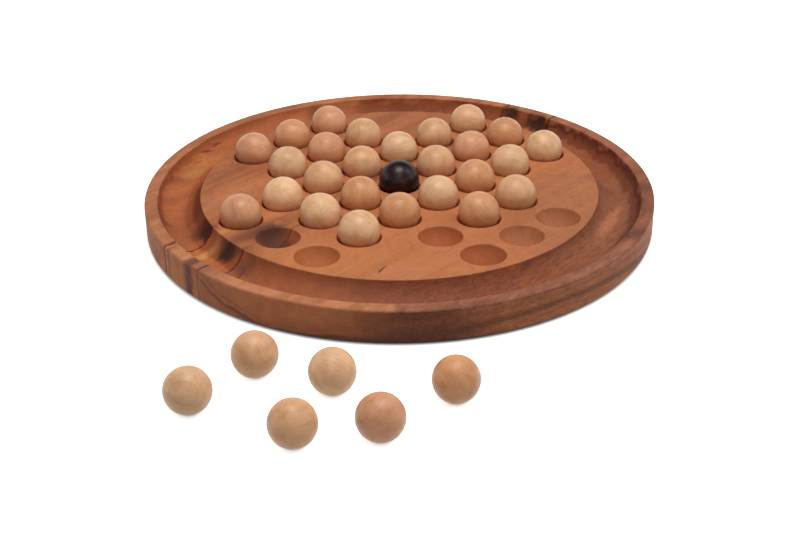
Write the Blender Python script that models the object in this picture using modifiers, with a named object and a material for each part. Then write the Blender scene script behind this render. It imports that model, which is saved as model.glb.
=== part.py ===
"""Round solitaire board, turned from glued planks, with wooden balls as its playing pieces.

Metres, +Z up. The origin is the centre of the board's underside, and the planks run along Y.
Seats are named as on a chessboard: columns a to g run along X, rows 1 to 7 along Y.
"""

import math

import bmesh
import bpy

# Board
BOARD_RADIUS = 0.150
BOARD_THICKNESS = 0.020
RIM_WIDTH = 0.0076
RIM_ROUND = 0.0012
LIP_ROUND = 0.0007
FOOT_ROUND = 0.0030

# Groove round the field, where the balls that have been taken lie
GROOVE_WIDTH = 0.0248
GROOVE_DEPTH = 0.0100

# Planks: where their two glue joints cross the X axis
LEFT_JOINT_X = -0.0370
RIGHT_JOINT_X = -0.0030

# Balls and the seats cut to suit them: a ball has MOUTH_CLEARANCE all round it at the seat's mouth
# and BALL_GAP under it
SEAT_PITCH = 0.0318
BALL_DIAMETER = 0.0238
BALL_SINK = 0.0082
BALL_GAP = 0.0003
MOUTH_CLEARANCE = 0.0008

# How far a cutter runs past what it cuts
OVERRUN = 0.0100

# Facets
BOARD_STEPS = 72
GROOVE_FACETS = 8
FOOT_FACETS = 3
LIP_FACETS = 2
SEAT_STEPS = 14
SEAT_FACETS = 4
BALL_STEPS = 16
BALL_RINGS = 8

MERGE_DISTANCE = 1e-6
FLAT_ANGLE = math.radians(0.1)
SMOOTH_ANGLE = math.radians(35)

# The cross of 33 seats: each row's first and last column
COLUMN_LETTERS = "abcdefg"
ROW_SPANS = ("ce", "ce", "ag", "ag", "ag", "ce", "ce")
EMPTY_SEATS = ("d1", "e1", "f3", "g3", "g4", "g5")
CENTRE_SEAT = "d4"

# Balls that lie beside the board, towards the player. Each pair gives the place sideways from the
# player's line through the centre, and outwards from the board's edge, in ball diameters.
PLAYER_ANGLE = math.radians(-45)
LOOSE_BALL_SHARES = (
    (-2.08, 3.66),
    (-0.41, 3.48),
    (-4.22, 2.48),
    (1.09, 2.16),
    (-1.39, 1.82),
    (-3.01, 1.14),
)

# What follows from the sizes above
BALL_RADIUS = BALL_DIAMETER / 2
GROOVE_OUTER_RADIUS = BOARD_RADIUS - RIM_WIDTH
FIELD_RADIUS = GROOVE_OUTER_RADIUS - GROOVE_WIDTH
SEAT_MOUTH_RADIUS = BALL_RADIUS + MOUTH_CLEARANCE
SEAT_DEPTH = BALL_SINK + BALL_GAP


def material(name, colour, roughness):
    """A Principled material with one colour and roughness."""
    made = bpy.data.materials.new(name)
    made.use_nodes = True
    shader = made.node_tree.nodes["Principled BSDF"]
    shader.inputs["Base Color"].default_value = (*colour, 1)
    shader.inputs["Roughness"].default_value = roughness
    shader.inputs["Metallic"].default_value = 0
    return made


def collection(name):
    """A new collection in the scene."""
    made = bpy.data.collections.new(name)
    bpy.context.scene.collection.children.link(made)
    return made


def arc(centre, radius, start, end, facets):
    """Points (x, z) along an arc, from one angle to the other, in degrees from +X towards +Z."""
    points = []
    for step in range(facets + 1):
        angle = math.radians(start + (end - start) * step / facets)
        points.append(
            (centre[0] + radius * math.cos(angle), centre[1] + radius * math.sin(angle))
        )
    return points


def bowl_radius(mouth_radius, depth):
    """Radius of the sphere whose cap has this mouth and depth."""
    return (mouth_radius**2 + depth**2) / (2 * depth)


def add_object(name, mesh, group):
    """A new object for the mesh, in the collection."""
    made = bpy.data.objects.new(name, mesh)
    group.objects.link(made)
    return made


def profile_mesh(name, points):
    """An open chain of edges through (x, z) points, for a Screw modifier to turn."""
    mesh = bpy.data.meshes.new(name)
    edges = [(index, index + 1) for index in range(len(points) - 1)]
    mesh.from_pydata([(x, 0, z) for x, z in points], edges, [])
    return mesh


def turn(obj, steps):
    """Turns the object's profile once round Z."""
    screw = obj.modifiers.new("Turn", "SCREW")
    screw.axis = "Z"
    screw.steps = steps
    screw.render_steps = steps
    screw.use_merge_vertices = True
    screw.merge_threshold = MERGE_DISTANCE
    screw.use_smooth_shade = True


def board_profile():
    """The board's section from the middle of the field out over the groove and rim, and down.

    The groove is a round cove. Its arc stops where it meets the small rounds that break the
    edges of the field and the rim.
    """
    top = BOARD_THICKNESS
    cove = bowl_radius(GROOVE_WIDTH / 2, GROOVE_DEPTH)
    cove_x = FIELD_RADIUS + GROOVE_WIDTH / 2
    cove_z = top - GROOVE_DEPTH + cove
    # A lip touches the flat top and the cove: its centre is one lip round below the top, and the
    # cove's radius plus the lip's from the cove's centre.
    lip_drop = cove_z - (top - LIP_ROUND)
    lip_reach = math.sqrt((cove + LIP_ROUND) ** 2 - lip_drop**2)
    lip_angle = math.degrees(math.atan2(lip_drop, lip_reach))
    points = [(0, top)]
    points += arc(
        (cove_x - lip_reach, top - LIP_ROUND), LIP_ROUND, 90, lip_angle, LIP_FACETS
    )
    points += arc(
        (cove_x, cove_z), cove, 180 + lip_angle, 360 - lip_angle, GROOVE_FACETS
    )[1:-1]
    points += arc(
        (cove_x + lip_reach, top - LIP_ROUND), LIP_ROUND, 180 - lip_angle, 90, LIP_FACETS
    )
    points += arc(
        (BOARD_RADIUS - RIM_ROUND, top - RIM_ROUND), RIM_ROUND, 90, 0, LIP_FACETS
    )
    points += arc(
        (BOARD_RADIUS - FOOT_ROUND, FOOT_ROUND), FOOT_ROUND, 0, -90, FOOT_FACETS
    )
    points.append((0, 0))
    return points


def seat_profile():
    """A seat's cutter: a bowl with a straight neck that runs on above the field."""
    bowl = bowl_radius(SEAT_MOUTH_RADIUS, SEAT_DEPTH)
    bowl_z = BOARD_THICKNESS - SEAT_DEPTH + bowl
    mouth_angle = -math.degrees(math.acos(SEAT_MOUTH_RADIUS / bowl))
    above = BOARD_THICKNESS + OVERRUN
    points = [(0, above), (SEAT_MOUTH_RADIUS, above)]
    points += arc((0, bowl_z), bowl, mouth_angle, -90, SEAT_FACETS)[:-1]
    points.append((0, BOARD_THICKNESS - SEAT_DEPTH))
    return points


def seat_places():
    """Each seat's name and its (x, y), centred on the board's axis."""
    middle = len(ROW_SPANS) // 2
    places = {}
    for row, (first, last) in enumerate(ROW_SPANS):
        for column in range(COLUMN_LETTERS.index(first), COLUMN_LETTERS.index(last) + 1):
            name = f"{COLUMN_LETTERS[column]}{row + 1}"
            places[name] = (SEAT_PITCH * (column - middle), SEAT_PITCH * (row - middle))
    return places


def loose_places():
    """Each loose ball's (x, y), clear of the board's edge on the player's side."""
    outwards = (math.cos(PLAYER_ANGLE), math.sin(PLAYER_ANGLE))
    sideways = (-outwards[1], outwards[0])
    places = []
    for side_share, out_share in LOOSE_BALL_SHARES:
        side = side_share * BALL_DIAMETER
        out = BOARD_RADIUS + out_share * BALL_DIAMETER
        places.append(
            (
                sideways[0] * side + outwards[0] * out,
                sideways[1] * side + outwards[1] * out,
            )
        )
    return places


def guide(obj):
    """Marks an object as a cutter, which is not part of the model."""
    obj.hide_render = True
    obj.display_type = "WIRE"
    return obj


def joint_cutter(name, joint_x, side, group):
    """A block that covers all of the board on one side (-1 or 1) of a glue joint.

    Its face lies at the block's own x = 0, so both planks are cut at exactly the same plane.
    """
    length = 2 * (BOARD_RADIUS + OVERRUN)
    height = BOARD_THICKNESS + 2 * OVERRUN
    shape = bmesh.new()
    bmesh.ops.create_cube(shape, size=1)
    bmesh.ops.translate(shape, verts=shape.verts, vec=(side / 2, 0, 0))
    bmesh.ops.scale(shape, verts=shape.verts, vec=(length, length, height))
    mesh = bpy.data.meshes.new(name)
    shape.to_mesh(mesh)
    shape.free()
    block = guide(add_object(name, mesh, group))
    block.location = (joint_x, 0, BOARD_THICKNESS / 2)
    return block


def cut(obj, name, operation, cutter):
    """A Boolean against one cutter, or against every cutter in a collection."""
    boolean = obj.modifiers.new(name, "BOOLEAN")
    boolean.operation = operation
    if isinstance(cutter, bpy.types.Collection):
        boolean.operand_type = "COLLECTION"
        boolean.collection = cutter
    else:
        boolean.object = cutter
    return boolean


def plank(name, mesh, seats, joints, wood, group):
    """One plank: the turned board, its seats sunk, cut off at its glue joints.

    joints holds (operation, block) pairs.
    """
    made = add_object(name, mesh, group)
    made.data.materials.append(wood)
    turn(made, BOARD_STEPS)
    flats = made.modifiers.new("Join flat facets", "DECIMATE")
    flats.decimate_type = "DISSOLVE"
    flats.angle_limit = FLAT_ANGLE
    cut(made, "Sink seats", "DIFFERENCE", seats)
    for operation, block in joints:
        cut(made, f"Saw at {block.name}", operation, block)
    # Keeps the flat faces flat to the eye beside the smooth, turned ones
    made.modifiers.new("Shade flats flat", "WEIGHTED_NORMAL")


def ball_mesh(name, wood):
    """A ball about its own centre."""
    shape = bmesh.new()
    bmesh.ops.create_uvsphere(
        shape, u_segments=BALL_STEPS, v_segments=BALL_RINGS, radius=BALL_RADIUS
    )
    mesh = bpy.data.meshes.new(name)
    shape.to_mesh(mesh)
    shape.free()
    mesh.materials.append(wood)
    mesh.shade_smooth()
    mesh.set_sharp_from_angle(angle=SMOOTH_ANGLE)
    return mesh


def clear_scene():
    """Removes whatever the file held."""
    for obj in list(bpy.data.objects):
        bpy.data.objects.remove(obj)


def make_board(group, seat_cutters, plank_cutters):
    """The three planks of the board."""
    wood = material("Board wood", (0.42, 0.19, 0.09), 0.45)
    bowl = profile_mesh("Seat cutter", seat_profile())
    for seat, (x, y) in seat_places().items():
        cutter = guide(add_object(f"seat_cutter_{seat}", bowl, seat_cutters))
        cutter.location = (x, y, 0)
        turn(cutter, SEAT_STEPS)
    left_of_left = joint_cutter("left_joint_outside", LEFT_JOINT_X, -1, plank_cutters)
    right_of_right = joint_cutter("right_joint_outside", RIGHT_JOINT_X, 1, plank_cutters)
    section = board_profile()
    saws = {
        "left_plank": [("INTERSECT", left_of_left)],
        "middle_plank": [("DIFFERENCE", left_of_left), ("DIFFERENCE", right_of_right)],
        "right_plank": [("INTERSECT", right_of_right)],
    }
    for name, joints in saws.items():
        plank(name, profile_mesh(name, section), seat_cutters, joints, wood, group)


def make_balls(group):
    """A ball in every seat that is taken, and the loose balls on the table."""
    pale = ball_mesh("Pale ball", material("Pale wood", (0.72, 0.47, 0.26), 0.35))
    dark = ball_mesh("Dark ball", material("Dark wood", (0.035, 0.016, 0.014), 0.30))
    seated_z = BOARD_THICKNESS - BALL_SINK + BALL_RADIUS
    for seat, (x, y) in seat_places().items():
        if seat in EMPTY_SEATS:
            continue
        mesh = dark if seat == CENTRE_SEAT else pale
        ball = add_object(f"ball_{seat}", mesh, group)
        ball.location = (x, y, seated_z)
    for number, (x, y) in enumerate(loose_places(), start=1):
        ball = add_object(f"loose_ball_{number}", pale, group)
        ball.location = (x, y, BALL_RADIUS)


clear_scene()
solitaire = collection("Round solitaire")
make_board(solitaire, collection("Seat cutters"), collection("Plank cutters"))
make_balls(solitaire)
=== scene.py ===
import math
import random

import bpy
from mathutils import Euler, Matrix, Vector


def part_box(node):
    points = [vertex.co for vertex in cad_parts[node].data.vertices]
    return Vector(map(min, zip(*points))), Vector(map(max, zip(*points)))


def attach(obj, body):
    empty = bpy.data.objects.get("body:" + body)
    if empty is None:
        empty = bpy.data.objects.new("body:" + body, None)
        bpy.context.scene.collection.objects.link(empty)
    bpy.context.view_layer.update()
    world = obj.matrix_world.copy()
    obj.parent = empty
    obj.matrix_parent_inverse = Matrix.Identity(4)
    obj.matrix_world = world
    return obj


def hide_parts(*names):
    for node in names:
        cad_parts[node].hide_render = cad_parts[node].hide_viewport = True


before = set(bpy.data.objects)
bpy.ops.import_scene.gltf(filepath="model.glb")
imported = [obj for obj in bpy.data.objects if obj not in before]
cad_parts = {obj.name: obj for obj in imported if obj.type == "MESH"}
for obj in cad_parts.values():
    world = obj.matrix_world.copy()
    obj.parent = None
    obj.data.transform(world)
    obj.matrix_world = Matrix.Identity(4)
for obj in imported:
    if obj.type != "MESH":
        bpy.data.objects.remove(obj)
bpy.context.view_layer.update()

# The board blank. Three planks are glued edge to edge and turned on a lathe as one: a flat field,
# a round groove for the balls that have been taken, and a narrow rim, all with softened edges.
# A round-nosed cutter then sinks 33 hollows into the field, and each mouth is eased by hand.
board_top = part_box("right_plank")[1].z
board_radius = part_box("right_plank")[1].x
RIM_WIDTH = 0.0076
RIM_ROUND = 0.0012
LIP_ROUND = 0.0007
FOOT_ROUND = 0.0030
GROOVE_WIDTH = 0.0248
GROOVE_DEPTH = 0.0100
SEAT_PITCH = 0.0318
SEAT_MOUTH = 0.0127
SEAT_DEPTH = 0.0085
MOUTH_EASE = 0.00035
TURNING_STEPS = 288
SEAT_STEPS = 64
ROW_LENGTHS = (3, 3, 7, 7, 7, 3, 3)


def sweep(centre, radius, start, end, facets):
    """Points (x, z) along an arc, in degrees from +X towards +Z."""
    turns = [math.radians(start + (end - start) * step / facets) for step in range(facets + 1)]
    return [(centre[0] + radius * math.cos(a), centre[1] + radius * math.sin(a)) for a in turns]


def turned(section, steps, centres=((0, 0),)):
    """Corners and faces turned from a section, once about each centre, closed at both ends."""
    corners = []
    faces = []
    count = len(section)
    for x, y in centres:
        first = len(corners)
        for step in range(steps):
            angle = math.tau * step / steps
            corners += [(x + r * math.cos(angle), y + r * math.sin(angle), z) for r, z in section]
        for step in range(steps):
            here = first + step * count
            there = first + (step + 1) % steps * count
            faces += [(here + i, here + i + 1, there + i + 1, there + i) for i in range(count - 1)]
        faces.append([first + step * count for step in range(steps)])
        faces.append([first + step * count + count - 1 for step in reversed(range(steps))])
    return corners, faces


def stock(name, corners, faces):
    """A new object from corners and faces."""
    mesh = bpy.data.meshes.new(name)
    mesh.from_pydata(corners, [], faces)
    made = bpy.data.objects.new(name, mesh)
    bpy.context.scene.collection.objects.link(made)
    return made


def machined(blank, cutter, operation, name):
    """The blank after one cut. The cutter goes, and the blank stays for the next piece."""
    cut = blank.modifiers.new("Cut", "BOOLEAN")
    cut.operation = operation
    cut.object = cutter
    ready = blank.evaluated_get(bpy.context.evaluated_depsgraph_get())
    made = bpy.data.objects.new(name, bpy.data.meshes.new_from_object(ready))
    bpy.context.scene.collection.objects.link(made)
    blank.modifiers.remove(cut)
    bpy.data.objects.remove(cutter)
    return made


def round_between(width, depth):
    """Radius of the arc that has this width and depth."""
    return ((width / 2) ** 2 + depth**2) / (2 * depth)


def lip(arc_radius, arc_height, ease):
    """A small round between a flat top and a hollow's wall: how far its centre lies from the
    middle of the hollow, and the angle at which it meets the wall."""
    drop = arc_height + ease
    reach = math.sqrt((arc_radius + ease) ** 2 - drop**2)
    return reach, math.degrees(math.atan2(drop, reach))


groove_radius = round_between(GROOVE_WIDTH, GROOVE_DEPTH)
groove_middle = board_radius - RIM_WIDTH - GROOVE_WIDTH / 2
groove_height = groove_radius - GROOVE_DEPTH
reach, meets = lip(groove_radius, groove_height, LIP_ROUND)
lip_z = board_top - LIP_ROUND
board_section = sweep((groove_middle - reach, lip_z), LIP_ROUND, 90, meets, 5)
board_section += sweep(
    (groove_middle, board_top + groove_height), groove_radius, 180 + meets, 360 - meets, 36
)[1:-1]
board_section += sweep((groove_middle + reach, lip_z), LIP_ROUND, 180 - meets, 90, 5)
board_section += sweep(
    (board_radius - RIM_ROUND, board_top - RIM_ROUND), RIM_ROUND, 90, 0, 6
)
board_section += sweep((board_radius - FOOT_ROUND, FOOT_ROUND), FOOT_ROUND, 0, -90, 8)

seat_radius = round_between(2 * SEAT_MOUTH, SEAT_DEPTH)
seat_height = seat_radius - SEAT_DEPTH
reach, meets = lip(seat_radius, seat_height, MOUTH_EASE)
mouth_curve = sweep((reach, board_top - MOUTH_EASE), MOUTH_EASE, 98, 180 - meets, 4)
seat_section = [(mouth_curve[0][0], 2 * board_top)] + mouth_curve
seat_section += sweep((0, board_top + seat_height), seat_radius, -meets, -89, 16)[1:]
seat_centres = [
    (SEAT_PITCH * (column - (length - 1) / 2), SEAT_PITCH * (row - 3))
    for row, length in enumerate(ROW_LENGTHS)
    for column in range(length)
]
blank = stock("turned_blank", *turned(board_section, TURNING_STEPS))
hollows = stock("hollows", *turned(seat_section, SEAT_STEPS, seat_centres))
seated_blank = machined(blank, hollows, "DIFFERENCE", "seated_blank")
bpy.data.objects.remove(blank)


# Left plank. The widest board of the glue-up but one, sawn from a warm orange-brown oiled
# hardwood with soft brown bands. Its right edge is planed and glued to the middle plank. The cut
# hollows and the seats are painted darker and redder than the top, as painted shade.
LEFT_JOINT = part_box("left_plank")[1].x
MM = 1000.0
TURNED_ZONES = {
    "hollows": (0.0, 142.3, -1.0, 19.6),
    "seats": (0.0, 117.0, -1.0, 19.5),
    "groove": (117.4, 142.3, -1.0, 19.7),
    "rim": (142.3, 160.0, 18.4, 30.0),
    "side": (148.5, 160.0, -1.0, 18.8),
}
PAINTED_SHADE_BANDS = {
    "inner wall": (117.0, 122.5, -1.0, 19.7),
    "inner slope": (117.0, 127.5, -1.0, 19.7),
    "outer wall": (136.0, 142.3, -1.0, 19.7),
    "rim lip": (140.0, 142.3, -1.0, 19.9),
}


def feed(socket, value):
    """Links a value that comes from a node to the socket, or sets a plain one."""
    if isinstance(value, bpy.types.NodeSocket):
        socket.id_data.links.new(value, socket)
    else:
        socket.default_value = value


def add_node(tree, kind, inputs, **settings):
    """A new shader node with its settings and inputs."""
    made = tree.nodes.new("ShaderNode" + kind)
    for name, value in settings.items():
        setattr(made, name, value)
    for name, value in inputs.items():
        feed(made.inputs[name], value)
    return made


def sums(tree, operation, *values):
    """One sum on numbers."""
    return add_node(tree, "Math", dict(enumerate(values)), operation=operation).outputs[0]


def places(tree, operation, *values):
    """One sum on places."""
    made = add_node(tree, "VectorMath", dict(enumerate(values)), operation=operation)
    return made.outputs["Value" if operation in ("LENGTH", "DOT_PRODUCT") else "Vector"]


def patches(tree, place, size, detail=2.0, roughness=0.5):
    """Soft random patches from 0 to 1, whose size along X, Y and Z is in millimetres."""
    at = places(tree, "DIVIDE", place, size)
    made = add_node(
        tree, "TexNoise", {"Vector": at, "Scale": 1.0, "Detail": detail, "Roughness": roughness}
    )
    return made.outputs["Fac"]


def wobble(tree, place, size, reach):
    """A random shift of each place, up to about half of reach, in millimetres."""
    at = places(tree, "DIVIDE", place, size)
    noise = add_node(tree, "TexNoise", {"Vector": at, "Scale": 1.0}).outputs["Color"]
    return places(tree, "MULTIPLY", places(tree, "SUBTRACT", noise, (0.5, 0.5, 0.5)), reach)


def spread(tree, value, low, high, start=0.0, end=1.0):
    """Turns low to high into start to end, softly, and holds beyond them."""
    made = add_node(
        tree,
        "MapRange",
        {"Value": value, "From Min": low, "From Max": high, "To Min": start, "To Max": end},
        interpolation_type="SMOOTHSTEP",
    )
    return made.outputs[0]


def stain(tree, share, under, over, how="MIX"):
    """One colour laid over another by a share from 0 to 1."""
    made = add_node(tree, "Mix", {0: share, 6: under, 7: over}, data_type="RGBA", blend_type=how)
    return made.outputs[2]


def colours(tree, value, stops):
    """A colour for each value from 0 to 1, from (place, colour) stops."""
    made = add_node(tree, "ValToRGB", {0: value})
    bar = made.color_ramp
    while len(bar.elements) < len(stops):
        bar.elements.new(0.5)
    for element, (at, colour) in zip(bar.elements, stops):
        element.position = at
        element.color = (*colour, 1)
    return made.outputs[0]


def begin_wood(name, pith, lean, first_year, last_year, years):
    """Starts a plank's wood: its growth rings about the pith at (x, z), all in millimetres.

    The grain runs along Y and drifts by lean towards -X. years gives the colour of the rings from
    the first to the last distance from the pith.
    """
    made = bpy.data.materials.new(name)
    made.use_nodes = True
    tree = made.node_tree
    wood = {"material": made, "tree": tree}
    object_place = add_node(tree, "TexCoord", {}).outputs
    wood["face"] = object_place["Normal"]
    place = places(tree, "MULTIPLY", object_place["Object"], (MM, MM, MM))
    wood["true"] = place
    wood["spot"] = places(tree, "ADD", place, wobble(tree, place, (7, 22, 7), (4, 9, 2)))
    wood["height"] = add_node(tree, "SeparateXYZ", {0: place}).outputs["Z"]
    level = places(tree, "MULTIPLY", place, (1, 1, 0))
    wood["out"] = places(tree, "LENGTH", level)
    ragged = places(tree, "MULTIPLY", wood["spot"], (1, 1, 0))
    wood["ragged out"] = places(tree, "LENGTH", ragged)
    wood["bearing"] = places(tree, "NORMALIZE", ragged)
    drift = add_node(tree, "SeparateXYZ", {0: place}).outputs
    along = sums(tree, "MULTIPLY", drift["Y"], lean)
    leaned = places(
        tree, "ADD", place, add_node(tree, "CombineXYZ", {"X": along}).outputs[0]
    )
    wander = places(
        tree,
        "ADD",
        wobble(tree, leaned, (46, 190, 46), (16, 60, 16)),
        wobble(tree, leaned, (9, 44, 9), (3.2, 12, 3.2)),
    )
    wood["place"] = places(tree, "ADD", leaned, wander)
    wood["straight"] = leaned
    x, _, z = add_node(tree, "SeparateXYZ", {0: wood["place"]}).outputs
    away = add_node(
        tree,
        "CombineXYZ",
        {"X": sums(tree, "SUBTRACT", x, pith[0]), "Z": sums(tree, "SUBTRACT", z, pith[1])},
    ).outputs[0]
    wood["reach"] = places(tree, "LENGTH", away)
    share = add_node(
        tree,
        "MapRange",
        {"Value": wood["reach"], "From Min": first_year, "From Max": last_year},
    ).outputs[0]
    wood["colour"] = colours(tree, share, years)
    return wood


def turned_zone(wood, name):
    """1 in one zone of the turning, such as the rim, or in a band of painted shade with ragged
    edges.
    """
    tree = wood["tree"]
    if name in TURNED_ZONES:
        inner, outer, bottom, top = TURNED_ZONES[name]
        out, soft = wood["out"], 0.3
    else:
        inner, outer, bottom, top = PAINTED_SHADE_BANDS[name]
        out, soft = wood["ragged out"], 1.3
    share = spread(tree, out, inner - soft, inner + soft)
    share = sums(tree, "MULTIPLY", share, spread(tree, out, outer - soft, outer + soft, 1.0, 0.0))
    share = sums(
        tree, "MULTIPLY", share, spread(tree, wood["height"], top - 0.4, top + 0.4, 1.0, 0.0)
    )
    return sums(
        tree, "MULTIPLY", share, spread(tree, wood["height"], bottom - 0.4, bottom + 0.4)
    )


def towards(wood, bearing, half, soft):
    """1 within half of a bearing about the board's axis, in degrees anticlockwise from +X."""
    tree = wood["tree"]
    way = (math.cos(math.radians(bearing)), math.sin(math.radians(bearing)), 0)
    off = sums(tree, "ARCCOSINE", places(tree, "DOT_PRODUCT", wood["bearing"], way))
    return spread(tree, off, math.radians(half - soft), math.radians(half + soft), 1.0, 0.0)


def patch(wood, where, size, turn=0.0, core=0.25):
    """A soft long patch of the wood, 1 at its middle. turn is in degrees, anticlockwise."""
    tree = wood["tree"]
    inside = add_node(
        tree,
        "Mapping",
        {
            "Vector": wood["spot"],
            "Location": (*where, 10.0)[:3],
            "Rotation": (0, 0, math.radians(turn)),
            "Scale": (*size, 60.0)[:3],
        },
        vector_type="TEXTURE",
    ).outputs[0]
    return spread(tree, places(tree, "LENGTH", inside), core, 1.0, 1.0, 0.0)


def colour_in(wood, colour, strength, *masks, how="MIX"):
    """Lays a colour over the wood, or multiplies it in, where all the masks are 1."""
    tree = wood["tree"]
    share = strength
    for mask in masks:
        share = sums(tree, "MULTIPLY", share, mask)
    wood["colour"] = stain(tree, share, wood["colour"], (*colour, 1), how)


def streak(wood, where, size, colour, strength, turn=0.0, core=0.25, zone=None):
    """A streak of other colour at (x, y) or (x, y, z), size being its half width and length."""
    masks = [patch(wood, where, size, turn, core)]
    if zone:
        masks.append(turned_zone(wood, zone))
    colour_in(wood, colour, strength, *masks)


def shade_or_tint(wood, zone, shade, bearing=None, half=180.0, soft=10.0):
    """Multiplies a colour into a turned zone or band, all round or about one bearing: mostly
    painted shade in the hollows and along their edges.
    """
    masks = [turned_zone(wood, zone)]
    if bearing is not None:
        masks.append(towards(wood, bearing, half, soft))
    colour_in(wood, shade, 1.0, *masks, how="MULTIPLY")


def ring(wood, reach, width, colour, strength, *masks):
    """A darker or lighter growth ring, by its distance from the pith."""
    tree = wood["tree"]
    off = sums(tree, "ABSOLUTE", sums(tree, "SUBTRACT", wood["reach"], reach))
    colour_in(wood, colour, strength, spread(tree, off, 0.0, width, 1.0, 0.0), *masks)


def arch(wood, middle, size, width, colour, strength, zone):
    """A growth ring that a flat-sawn edge cuts as an arch, at (y, z) with its half length and
    height."""
    tree = wood["tree"]
    inside = add_node(
        tree,
        "Mapping",
        {
            "Vector": places(tree, "MULTIPLY", wood["spot"], (0, 1, 1)),
            "Location": (0, *middle),
            "Scale": (1, *size),
        },
        vector_type="TEXTURE",
    ).outputs[0]
    off = sums(tree, "SUBTRACT", places(tree, "LENGTH", inside), 1.0)
    line = spread(tree, sums(tree, "ABSOLUTE", off), 0.0, width, 1.0, 0.0)
    colour_in(wood, colour, strength, line, turned_zone(wood, zone))


def glue_line(wood, joint, strength):
    """The thin dark line of a glue joint, which shows in the groove, on the rim and the side."""
    tree = wood["tree"]
    x = add_node(tree, "SeparateXYZ", {0: wood["true"]}).outputs["X"]
    off = sums(tree, "ABSOLUTE", sums(tree, "SUBTRACT", x, joint * MM))
    line = spread(tree, off, 0.1, 0.6, 1.0, 0.0)
    near = towards(wood, -112, 40, 20)
    for zone in ("groove", "rim", "side"):
        colour_in(wood, GLUE, strength, line, near, turned_zone(wood, zone))


BLOTCH_DEPTH = 0.30


def finish_wood(wood, fibre_depth=0.22, band_depth=0.20, torn_depth=0.0, torn_at=0.0):
    """Lays fibres, bands, pores and ripples over the colour, and oils the surface.

    torn_depth is how far the hollows and the rim are flecked about the bearing torn_at, where the
    cutter has run against the grain and torn the fibres.
    """
    tree = wood["tree"]
    grain = wood["straight"]
    fibres = patches(tree, grain, (0.5, 22, 0.5), 3.0, 0.6)
    bands = patches(tree, grain, (6, 110, 6), 3.0, 0.55)
    ripples = patches(tree, wood["place"], (13, 3.5, 13), 2.0, 0.5)
    dashes = patches(tree, grain, (0.36, 4.6, 0.36), 1.0, 0.5)
    clumps = patches(tree, grain, (16, 30, 16), 1.0, 0.5)
    pores = sums(
        tree,
        "MULTIPLY",
        spread(tree, dashes, 0.60, 0.72),
        spread(tree, clumps, 0.42, 0.62, 0.25, 1.0),
    )
    tone = spread(tree, fibres, 0.25, 0.75, 1 - fibre_depth / 2, 1 + fibre_depth / 2)
    for pattern, depth in ((bands, band_depth), (ripples, 0.10)):
        tone = sums(
            tree, "MULTIPLY", tone, spread(tree, pattern, 0.3, 0.7, 1 - depth / 2, 1 + depth / 2)
        )
    tone = sums(tree, "MULTIPLY", tone, spread(tree, pores, 0.0, 1.0, 1.0, 0.62))
    blotches = patches(tree, grain, (9, 26, 9), 3.0, 0.6)
    blotches = spread(tree, blotches, 0.32, 0.68, -0.5, 0.5)
    share = sums(tree, "MULTIPLY", turned_zone(wood, "rim"), BLOTCH_DEPTH)
    share = sums(tree, "MULTIPLY", share, blotches)
    tone = sums(tree, "MULTIPLY", tone, sums(tree, "ADD", share, 1.0))
    if torn_depth:
        torn = patches(tree, grain, (1.6, 8, 1.2), 4.0, 0.65)
        torn = spread(tree, torn, 0.34, 0.66, -torn_depth, 0.7 * torn_depth)
        torn = sums(tree, "MULTIPLY", torn, towards(wood, torn_at, 45, 22))
        for zone in ("groove", "rim", "side"):
            share = sums(tree, "MULTIPLY", torn, turned_zone(wood, zone))
            tone = sums(tree, "MULTIPLY", tone, sums(tree, "ADD", share, 1.0))
    colour = places(tree, "SCALE", wood["colour"])
    feed(colour.node.inputs["Scale"], tone)
    shader = tree.nodes["Principled BSDF"]
    feed(shader.inputs["Base Color"], colour)
    rough = spread(tree, fibres, 0.2, 0.8, 0.58, 0.68)
    feed(shader.inputs["Roughness"], sums(tree, "ADD", rough, sums(tree, "MULTIPLY", pores, 0.2)))
    shader.inputs["Specular IOR Level"].default_value = 0.14
    height = sums(tree, "SUBTRACT", sums(tree, "MULTIPLY", fibres, 0.4), pores)
    bump = add_node(tree, "Bump", {"Strength": 0.3, "Distance": 0.00012, "Height": height})
    feed(shader.inputs["Normal"], bump.outputs[0])
    return wood["material"]


def plank(name, left, right, wood):
    """One plank: the turned blank between two glue joints, in its own wood."""
    length = 4 * board_radius
    corners = [
        (x, y, z)
        for x in (left, right)
        for y in (-length, length)
        for z in (-length, length)
    ]
    block = stock(
        "saw",
        corners,
        [(0, 1, 3, 2), (4, 6, 7, 5), (0, 4, 5, 1), (2, 3, 7, 6), (0, 2, 6, 4), (1, 5, 7, 3)],
    )
    made = machined(seated_blank, block, "INTERSECT", name)
    made.data.materials.clear()
    made.data.materials.append(wood)
    made.data.shade_smooth()
    made.data.set_sharp_from_angle(angle=math.radians(35))
    made.modifiers.new("Shade flats flat", "WEIGHTED_NORMAL")
    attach(made, "board")
    return made


TAN = (0.475, 0.165, 0.066)
ORANGE = (0.54, 0.205, 0.065)
YELLOW = (0.62, 0.290, 0.095)
PINK_TAN = (0.50, 0.198, 0.098)
BROWN = (0.28, 0.090, 0.040)
RED_BROWN = (0.17, 0.042, 0.020)
DARK = (0.060, 0.022, 0.015)
PLUM = (0.130, 0.045, 0.034)
GLUE = (0.060, 0.026, 0.018)
HOLLOW_PAINTED_SHADE = (0.92, 0.78, 0.70)
SEAT_PAINTED_SHADE = (0.84, 0.77, 0.68)
WORN = (1.03, 1.13, 1.30)

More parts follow.
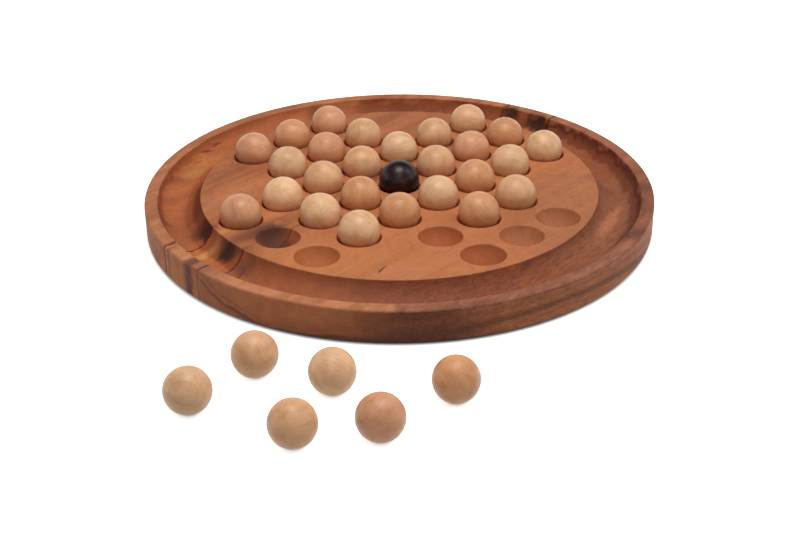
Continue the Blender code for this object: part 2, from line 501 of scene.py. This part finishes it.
left_wood = begin_wood(
    "oiled_wood_left",
    pith=(-120, -60),
    lean=0.087,
    first_year=50,
    last_year=150,
    years=[
        (0.0, ORANGE),
        (0.25, TAN),
        (0.33, (0.38, 0.125, 0.052)),
        (0.45, TAN),
        (0.56, (0.40, 0.130, 0.052)),
        (0.68, (0.48, 0.165, 0.068)),
        (0.80, (0.36, 0.115, 0.046)),
        (1.0, TAN),
    ],
)
# Painted shade: the hollows and the seats are darker and redder than the top.
shade_or_tint(left_wood, "hollows", HOLLOW_PAINTED_SHADE)
shade_or_tint(left_wood, "seats", SEAT_PAINTED_SHADE)
shade_or_tint(left_wood, "rim", WORN)
streak(left_wood, (-126, -45), (9, 34), ORANGE, 0.6)
streak(left_wood, (-125, 60), (14, 45), ORANGE, 0.5)
streak(left_wood, (-60, -85), (7, 34), PINK_TAN, 0.6, turn=6)
streak(left_wood, (-86, -60), (4, 30), BROWN, 0.55, turn=5)
streak(left_wood, (-72, -48), (3, 30), BROWN, 0.40, turn=5)
streak(left_wood, (-80, 66), (9, 45), PLUM, 0.45, turn=5)
streak(left_wood, (-116, 30), (3, 50), BROWN, 0.4, turn=5, zone="groove")
streak(left_wood, (-127, -20), (2.5, 40), BROWN, 0.4, turn=5, zone="groove")
streak(left_wood, (-114, -75), (3, 16), BROWN, 0.5, turn=10, zone="groove")
streak(left_wood, (-96, -92), (4, 16), BROWN, 0.45, turn=10, zone="groove")
streak(left_wood, (-72, -119), (7, 4), RED_BROWN, 0.8, zone="groove")
streak(left_wood, (-46, -112), (14, 8), RED_BROWN, 0.85, zone="groove")
streak(left_wood, (-42, -113), (7, 5), DARK, 0.75, zone="groove")
streak(left_wood, (-130, 50), (5, 12), PLUM, 0.5)
streak(left_wood, (-108, -52), (3.0, 12), PLUM, 0.75, turn=12, zone="groove")
streak(left_wood, (-113, -40), (2.0, 10), DARK, 0.55, turn=5, zone="groove")
streak(left_wood, (-99, -66), (2.4, 9), DARK, 0.60, turn=14, zone="groove")
streak(left_wood, (-134, -38), (1.0, 8), DARK, 0.6, turn=8, zone="groove")
streak(left_wood, (-137, -28), (0.9, 7), DARK, 0.6, turn=8, zone="groove")
streak(left_wood, (-128, -52), (1.0, 8), BROWN, 0.6, turn=12, zone="groove")
streak(left_wood, (-118, -62), (5, 14), YELLOW, 0.5, turn=10, zone="groove")
# Painted shade on the front-left inner wall and slope, on the far outer wall and along the rim
# lip.
shade_or_tint(left_wood, "inner wall", (0.62, 0.46, 0.44), -118, 28, 10)
shade_or_tint(left_wood, "inner slope", (0.80, 0.74, 0.78), -125, 35, 12)
shade_or_tint(left_wood, "outer wall", (0.58, 0.50, 0.47), 126, 28, 16)
shade_or_tint(left_wood, "rim lip", (0.70, 0.58, 0.56), -132, 32, 12)
glue_line(left_wood, LEFT_JOINT, 0.55)
left_wood_done = finish_wood(left_wood)
left_plank = plank("left_plank_wood", -2 * board_radius, LEFT_JOINT, left_wood_done)
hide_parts("left_plank")


# Middle plank. The narrowest board, with an orange left half and a purple-brown heart streak
# down its right half. Both edges are planed and glued.
RIGHT_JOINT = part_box("right_plank")[0].x
middle_wood = begin_wood(
    "oiled_wood_middle",
    pith=(-60, -90),
    lean=0.06,
    first_year=100,
    last_year=130,
    years=[(0.0, ORANGE), (0.35, TAN), (0.6, (0.43, 0.15, 0.06)), (0.8, BROWN), (1.0, TAN)],
)
# Painted shade: the hollows and the seats are darker and redder than the top.
shade_or_tint(middle_wood, "hollows", HOLLOW_PAINTED_SHADE)
shade_or_tint(middle_wood, "seats", SEAT_PAINTED_SHADE)
shade_or_tint(middle_wood, "rim", WORN)
streak(middle_wood, (-19, 30), (4.5, 120), PLUM, 0.6, turn=2)
streak(middle_wood, (-27, -126), (4.5, 30), YELLOW, 0.75)
streak(middle_wood, (-33, -146), (2, 9), RED_BROWN, 0.5)
streak(middle_wood, (-33, -104), (7, 6), YELLOW, 0.7)
streak(middle_wood, (-14, -100), (13, 32), PLUM, 0.75)
streak(middle_wood, (-8, -93), (12, 13), DARK, 0.75)
streak(middle_wood, (-14, -84), (5, 4), ORANGE, 0.5)
streak(middle_wood, (-15, -120), (9, 7), DARK, 0.95, zone="groove")
streak(middle_wood, (-12, -146), (6, 10), PLUM, 0.85)
streak(middle_wood, (-11, -150, 10), (4, 4, 40), PLUM, 0.85, zone="side")
streak(middle_wood, (-30, -150, 10), (8, 4, 40), TAN, 0.8, zone="side")
# Painted shade: dark streaks under the rim lip on the far outer wall.
streak(middle_wood, (-10, 139), (13, 7), DARK, 0.85)
streak(middle_wood, (-31, 138), (9, 6), DARK, 0.85)
# Painted shade on the front inner slope and on the far outer wall.
shade_or_tint(middle_wood, "inner slope", (0.68, 0.62, 0.66), -98, 20, 10)
shade_or_tint(middle_wood, "outer wall", (0.56, 0.47, 0.44), 100, 24, 10)
glue_line(middle_wood, LEFT_JOINT, 0.55)
glue_line(middle_wood, RIGHT_JOINT, 0.25)
middle_wood_done = finish_wood(middle_wood)
middle_plank = plank("middle_plank_wood", LEFT_JOINT, RIGHT_JOINT, middle_wood_done)
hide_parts("middle_plank")


# Right plank. The widest board, sawn flat, so its field is even tan. Its rings only show at the
# side, where they dip towards the near edge. Towards its right edge the groove and rim are darker
# and greyer, and the walls and lip there carry painted shade.
right_wood = begin_wood(
    "oiled_wood_right",
    pith=(57, 150),
    lean=0.05,
    first_year=125,
    last_year=175,
    years=[
        (0.0, TAN),
        (0.2, (0.49, 0.173, 0.071)),
        (0.40, (0.43, 0.150, 0.063)),
        (0.60, (0.40, 0.140, 0.060)),
        (1.0, (0.44, 0.160, 0.074)),
    ],
)
# Painted shade: the hollows and the seats are darker and redder than the top.
shade_or_tint(right_wood, "hollows", HOLLOW_PAINTED_SHADE)
shade_or_tint(right_wood, "seats", SEAT_PAINTED_SHADE)
shade_or_tint(right_wood, "rim", WORN)
streak(right_wood, (95, 55), (60, 90), (0.40, 0.145, 0.064), 0.8, core=0.5)
streak(right_wood, (40, -95), (50, 30), ORANGE, 0.35)
streak(right_wood, (80, 92), (14, 12), PLUM, 0.35)
streak(right_wood, (-3, -95), (10, 13), PLUM, 0.8)
streak(right_wood, (0, -90), (6, 6), DARK, 0.6)
streak(right_wood, (68, -81), (0.8, 7), DARK, 0.95, turn=13)
streak(right_wood, (59, -51), (0.8, 6), BROWN, 0.5, turn=60)
streak(right_wood, (4, -123), (11, 7), PLUM, 0.6, turn=15, zone="groove")
# Darker and greyer towards the right in the groove and on the rim; painted shade on the front
# inner slope, the right outer wall and along the rim lip.
shade_or_tint(right_wood, "groove", (0.72, 0.72, 0.84), 15, 80, 25)
shade_or_tint(right_wood, "inner slope", (0.86, 0.84, 0.92), -60, 36, 14)
shade_or_tint(right_wood, "outer wall", (0.64, 0.54, 0.56), 68, 62, 15)
shade_or_tint(right_wood, "rim lip", (0.60, 0.50, 0.50), 70, 65, 15)
shade_or_tint(right_wood, "rim", (0.68, 0.66, 0.74), 22, 66, 12)
streak(right_wood, (104, -104), (12, 5), PLUM, 0.45, turn=-45, zone="rim")
streak(right_wood, (128, -70), (5, 12), PLUM, 0.45, turn=-30, zone="rim")
streak(right_wood, (105, 100), (8, 16), PLUM, 0.6, turn=40, zone="rim")
streak(right_wood, (139, 45), (9, 14), PLUM, 0.75, turn=-10, zone="rim")
streak(right_wood, (116, -14), (2.2, 32), PLUM, 0.5, turn=3, zone="groove")
streak(right_wood, (109, 62), (5, 34), PINK_TAN, 0.6, turn=22, zone="groove")
# Painted shade: dark streaks along the right outer wall, under the rim lip.
streak(right_wood, (121, 78), (3.5, 20), DARK, 0.5, turn=32, zone="groove")
streak(right_wood, (118, 80), (3, 14), DARK, 0.5, turn=40)
SMOKY = (0.115, 0.040, 0.022)
streak(right_wood, (112, -100, 12), (50, 50, 40), SMOKY, 0.85, zone="side", core=0.1)
streak(right_wood, (100, -105, 0), (78, 78, 8), SMOKY, 0.85, zone="side", core=0.25)
arch(right_wood, (-24, 0), (78, 10.5), 0.30, SMOKY, 0.70, "side")
arch(right_wood, (-24, -2), (46, 8.0), 0.25, BROWN, 0.35, "side")
arch(right_wood, (-30, 0), (112, 16.0), 0.16, BROWN, 0.45, "side")
ring(right_wood, 151, 2.2, DARK, 0.65, patch(right_wood, (45, -140), (62, 36), core=0.6))
ring(right_wood, 147, 1.6, BROWN, 0.45, patch(right_wood, (45, -140), (62, 36), core=0.6))
glue_line(right_wood, RIGHT_JOINT, 0.25)
right_wood_done = finish_wood(right_wood, 0.16, 0.14, torn_depth=0.20, torn_at=-8)
right_plank = plank("right_plank_wood", RIGHT_JOINT, 2 * board_radius, right_wood_done)
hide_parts("right_plank")
bpy.data.objects.remove(seated_blank)


# Pale balls. 32 playing balls are turned from a pale, close-grained hardwood and lacquered satin.
# Each is cut from another stick, so its grain lies its own way, and some are creamier, browner or
# pinker than the rest. Those at the back are turned a little smaller.
BALL_STEPS = 64
BALL_RINGS = 32
OUT_OF_ROUND = 0.00006
CREAM = ("ball_d2", "ball_e2", "ball_c5", "ball_c2", "loose_ball_5")
LIGHT = ("ball_e6", "ball_e7", "ball_b3", "ball_e4", "loose_ball_3")
BROWN = ("ball_d3", "ball_e3", "ball_e5", "ball_f4", "ball_a4", "ball_d7", "loose_ball_4")
PINK = ("ball_c1", "ball_a3", "ball_b4", "ball_a5", "ball_d6", "loose_ball_2")
CREAM_TINT = (1.08, 1.17, 1.22)
LIGHT_TINT = (1.0, 1.08, 1.10)
BROWN_TINT = (0.90, 0.78, 0.68)
PINK_TINT = (0.92, 0.80, 0.80)
PLAIN_TINT = (0.97, 0.96, 0.94)
SMALLEST = 0.95
chance = random.Random(33)


def ball(node, wood):
    """A turned ball in the place of its CAD node, with its place in the stick kept as a map."""
    low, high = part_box(node)
    radius = (high.z - low.z) / 2
    behind = min(max(((low + high) / 2).y - ((low + high) / 2).x, 0.0) / (4 * SEAT_PITCH), 1.0)
    size = 1 - (1 - SMALLEST) * behind * chance.uniform(0.6, 1.0)
    middle = (low + high) / 2 - Vector((0, 0, radius * (1 - size)))
    section = sweep((0, 0), radius * size, 89, -89, BALL_RINGS)
    corners, faces = turned(section, BALL_STEPS)
    lie = Euler([chance.uniform(0, math.tau) for _ in range(3)]).to_matrix()
    stick = Vector([chance.uniform(-0.04, 0.04) for _ in range(3)])
    wave = [chance.uniform(0, math.tau) for _ in range(3)]
    shaped = []
    for corner in corners:
        turned_corner = lie @ Vector(corner)
        unit = turned_corner.normalized()
        swell = math.sin(3 * unit.x + wave[0]) * math.sin(3 * unit.y + wave[1])
        shaped.append(middle + turned_corner * (1 - OUT_OF_ROUND / radius * (1 + swell)))
    made = stock(f"turned_{node}", shaped, faces)
    made.data.shade_smooth()
    in_stick = made.data.attributes.new("in_stick", "FLOAT_VECTOR", "POINT")
    in_stick.data.foreach_set("vector", [n for c in corners for n in Vector(c) + stick])
    for group, shade in (
        (CREAM, CREAM_TINT),
        (LIGHT, LIGHT_TINT),
        (BROWN, BROWN_TINT),
        (PINK, PINK_TINT),
        ((node,), PLAIN_TINT),
    ):
        if node in group:
            break
    level = chance.uniform(0.95, 1.03)
    tint = made.data.attributes.new("tint", "FLOAT_VECTOR", "POINT")
    tint.data.foreach_set("vector", [share * level for share in shade] * len(corners))
    made.data.materials.append(wood)
    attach(made, f"{node}_body")
    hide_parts(node)
    return made


def ball_wood(name, ring_stops, fleck_colour, fleck_depth, roughness):
    """Lacquered close-grained wood, with soft rings, clouds and short flecks in the stick."""
    made = bpy.data.materials.new(name)
    made.use_nodes = True
    tree = made.node_tree
    stick = add_node(tree, "Attribute", {}, attribute_name="in_stick").outputs["Vector"]
    tint = add_node(tree, "Attribute", {}, attribute_name="tint").outputs["Vector"]
    place = places(tree, "MULTIPLY", stick, (MM, MM, MM))
    bend = add_node(
        tree, "TexNoise", {"Vector": places(tree, "DIVIDE", place, (14, 40, 14)), "Scale": 1.0}
    )
    bend = places(tree, "MULTIPLY", bend.outputs["Color"], (9, 0, 9))
    x, _, z = add_node(tree, "SeparateXYZ", {0: places(tree, "ADD", place, bend)}).outputs
    out = sums(
        tree, "SQRT", sums(tree, "ADD", sums(tree, "POWER", x, 2.0), sums(tree, "POWER", z, 2.0))
    )
    out = add_node(tree, "CombineXYZ", {"X": out}).outputs[0]
    rings = patches(tree, out, (1.5, 1, 1), 3.0, 0.6)
    clouds = patches(tree, place, (6, 14, 6), 2.0, 0.5)
    fibres = patches(tree, place, (0.3, 9, 0.3), 2.0, 0.5)
    share = 0.0
    for pattern, depth in ((rings, 0.30), (clouds, 0.45), (fibres, 0.25)):
        share = sums(tree, "ADD", share, sums(tree, "MULTIPLY", pattern, depth))
    colour = colours(tree, spread(tree, share, 0.30, 0.70), ring_stops)
    dashes = spread(tree, patches(tree, place, (0.28, 1.5, 0.28), 1.0, 0.5), 0.62, 0.72)
    where = spread(tree, patches(tree, place, (5, 7, 5), 1.0, 0.5), 0.48, 0.62)
    flecks = sums(tree, "MULTIPLY", sums(tree, "MULTIPLY", dashes, where), fleck_depth)
    colour = stain(tree, flecks, colour, (*fleck_colour, 1))
    colour = places(tree, "MULTIPLY", colour, tint)
    shader = tree.nodes["Principled BSDF"]
    feed(shader.inputs["Base Color"], colour)
    feed(
        shader.inputs["Roughness"],
        spread(tree, fibres, 0.2, 0.8, roughness - 0.04, roughness + 0.06),
    )
    shader.inputs["Specular IOR Level"].default_value = 0.26
    height = sums(tree, "SUBTRACT", fibres, flecks)
    bump = add_node(tree, "Bump", {"Strength": 0.2, "Distance": 0.00005, "Height": height})
    feed(shader.inputs["Normal"], bump.outputs[0])
    return made


pale_wood = ball_wood(
    "pale_ball_wood",
    [(0.0, (0.60, 0.300, 0.140)), (0.5, (0.74, 0.410, 0.215)), (1.0, (0.82, 0.480, 0.270))],
    (0.34, 0.14, 0.06),
    0.6,
    0.34,
)
for name in sorted(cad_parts):
    if name.startswith("ball_") and name != "ball_d4":
        ball(name, pale_wood)


# Dark ball. The one that starts in the centre seat: a nearly black, oily hardwood, turned like
# the others and polished a little brighter.
dark_wood = ball_wood(
    "dark_ball_wood",
    [(0.0, (0.010, 0.004, 0.004)), (0.5, (0.020, 0.008, 0.008)), (1.0, (0.038, 0.014, 0.014))],
    (0.006, 0.003, 0.003),
    0.5,
    0.30,
)
ball("ball_d4", dark_wood)


# Loose balls. Six of the pale balls lie beside the board, where the player has put them.
for name in sorted(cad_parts):
    if name.startswith("loose_ball_"):
        ball(name, pale_wood)


# Table. A plain white sheet under soft light: to the camera it glows white, dimmed by ambient
# occlusion under each ball, darkest right where they touch it, and by a painted shadow ring round
# the board's foot, shifted towards the player. Bounced light sees it grey.
TABLE_SIZE = 3.0
TABLE_DROP = 0.00005
SHADOW_REACH = 0.006
SHADOW_MIDDLE = (0.0018, -0.0018, 0.0)
SHADOW_INSIDE = 0.0055
SHADOW_OUTSIDE = 0.0012
BOUNCE_GREY = (0.62, 0.62, 0.62, 1)
table = stock(
    "table",
    [
        (TABLE_SIZE * x, TABLE_SIZE * y, -TABLE_DROP)
        for x, y in ((-1, -1), (1, -1), (1, 1), (-1, 1))
    ],
    [(0, 1, 2, 3)],
)
sheet = bpy.data.materials.new("white_sheet")
sheet.use_nodes = True
tree = sheet.node_tree
tree.nodes.remove(tree.nodes["Principled BSDF"])
output = tree.nodes["Material Output"]
path = add_node(tree, "LightPath", {}).outputs
seen = sums(
    tree,
    "MAXIMUM",
    path["Is Camera Ray"],
    sums(tree, "MAXIMUM", path["Is Glossy Ray"], path["Is Transmission Ray"]),
)
on_table = add_node(tree, "TexCoord", {}).outputs["Object"]
from_middle = places(tree, "LENGTH", places(tree, "SUBTRACT", on_table, SHADOW_MIDDLE))
# Painted shadow: a ring round the board's foot, darkest inside, that greys the sheet and dims its
# glow.
clear = spread(
    tree, from_middle, board_radius - SHADOW_INSIDE, board_radius + SHADOW_OUTSIDE
)
white = spread(tree, clear, 0.0, 1.0, 0.25, 0.92)
grey = add_node(tree, "CombineXYZ", {"X": white, "Y": white, "Z": white}).outputs[0]
shadowed = add_node(tree, "BsdfDiffuse", {"Color": grey}).outputs[0]
open_sky = add_node(
    tree, "AmbientOcclusion", {"Distance": SHADOW_REACH}, samples=16
).outputs["AO"]
lift = sums(tree, "MULTIPLY", spread(tree, open_sky, 0.02, 0.35, 0.30, 0.85), clear)
lift = add_node(tree, "Emission", {"Color": (1, 1, 1, 1), "Strength": lift}).outputs[0]
shown = add_node(tree, "AddShader", {0: shadowed, 1: lift}).outputs[0]
bounce = add_node(tree, "BsdfDiffuse", {"Color": BOUNCE_GREY}).outputs[0]
feed(
    output.inputs["Surface"],
    add_node(tree, "MixShader", {0: seen, 1: bounce, 2: shown}).outputs[0],
)
table.data.materials.append(sheet)


# Light and camera. One large soft lamp hangs overhead, a weak one stands high behind the camera,
# two stand to the right, which is the brighter side, and a low one to the left. The camera looks
# down from the player's side of the board, and the white backdrop shows in polished surfaces too.
PLAYER_TURN = math.radians(45.1)
CAMERA_DISTANCE = 0.77263
CAMERA_HEIGHT = 0.37689
CAMERA_PITCH = math.radians(28.364)
CAMERA_ROLL = math.radians(-0.472)
FOCAL_LENGTH = 64.27
SENSOR_WIDTH = 36.0
BACKDROP_LOW = 0.3
BACKDROP_TOP = 0.6
to_player = Vector((math.cos(PLAYER_TURN), -math.sin(PLAYER_TURN), 0))
to_right = Vector((math.sin(PLAYER_TURN), math.cos(PLAYER_TURN), 0))


def lamp(name, place, size, power):
    """A square soft lamp that faces the middle of the board."""
    light = bpy.data.lights.new(name, "AREA")
    light.shape = "SQUARE"
    light.size = size
    light.energy = power
    made = bpy.data.objects.new(name, light)
    bpy.context.scene.collection.objects.link(made)
    made.location = place
    made.rotation_euler = (-place).to_track_quat("-Z", "Y").to_euler()
    return made


lamp("overhead", to_player * 0.10 + Vector((0, 0, 1.0)), 0.5, 7.3)
lamp("behind_camera", to_player * 0.8 + Vector((0, 0, 0.9)), 0.6, 1.6)
lamp("high_right", to_right * 0.8 + Vector((0, 0, 0.9)), 0.6, 2.8)
lamp("low_right", to_right * 1.1 + Vector((0, 0, 0.3)), 0.6, 1.1)
lamp("low_left", to_right * -1.1 + Vector((0, 0, 0.3)), 0.6, 1.0)

world = bpy.data.worlds.new("studio")
bpy.context.scene.world = world
world.use_nodes = True
tree = world.node_tree
path = add_node(tree, "LightPath", {}).outputs
background = tree.nodes["Background"]
up = add_node(tree, "SeparateXYZ", {0: add_node(tree, "TexCoord", {}).outputs["Generated"]})
room = add_node(
    tree,
    "Background",
    {"Color": (1, 1, 1, 1), "Strength": spread(tree, up.outputs["Z"], 0.0, 0.5, 0.14, 0.05)},
).outputs[0]
background.inputs["Color"].default_value = (1, 1, 1, 1)
background.inputs["Strength"].default_value = 1.0
low = spread(tree, up.outputs["Z"], BACKDROP_LOW, BACKDROP_TOP, 1.0, 0.0)
mirrored = sums(tree, "MULTIPLY", path["Is Glossy Ray"], low)
seen = sums(
    tree,
    "MAXIMUM",
    path["Is Camera Ray"],
    sums(tree, "MAXIMUM", mirrored, path["Is Transmission Ray"]),
)
feed(
    tree.nodes["World Output"].inputs["Surface"],
    add_node(tree, "MixShader", {0: seen, 1: room, 2: background.outputs[0]}).outputs[0],
)

lens = bpy.data.cameras.new("camera")
lens.sensor_width = SENSOR_WIDTH
lens.lens = FOCAL_LENGTH
camera = bpy.data.objects.new("camera", lens)
bpy.context.scene.collection.objects.link(camera)
camera.location = to_player * CAMERA_DISTANCE + Vector((0, 0, CAMERA_HEIGHT))
ahead = -to_player * math.cos(CAMERA_PITCH) - Vector((0, 0, math.sin(CAMERA_PITCH)))
upward = to_right.cross(ahead)
across = to_right * math.cos(CAMERA_ROLL) + upward * math.sin(CAMERA_ROLL)
above = upward * math.cos(CAMERA_ROLL) - to_right * math.sin(CAMERA_ROLL)
view = camera.matrix_world.to_3x3()
for row in range(3):
    view[row] = (across[row], above[row], -ahead[row])
camera.rotation_euler = view.to_euler()
bpy.context.scene.camera = camera
bpy.context.scene.view_settings.view_transform = "Standard"
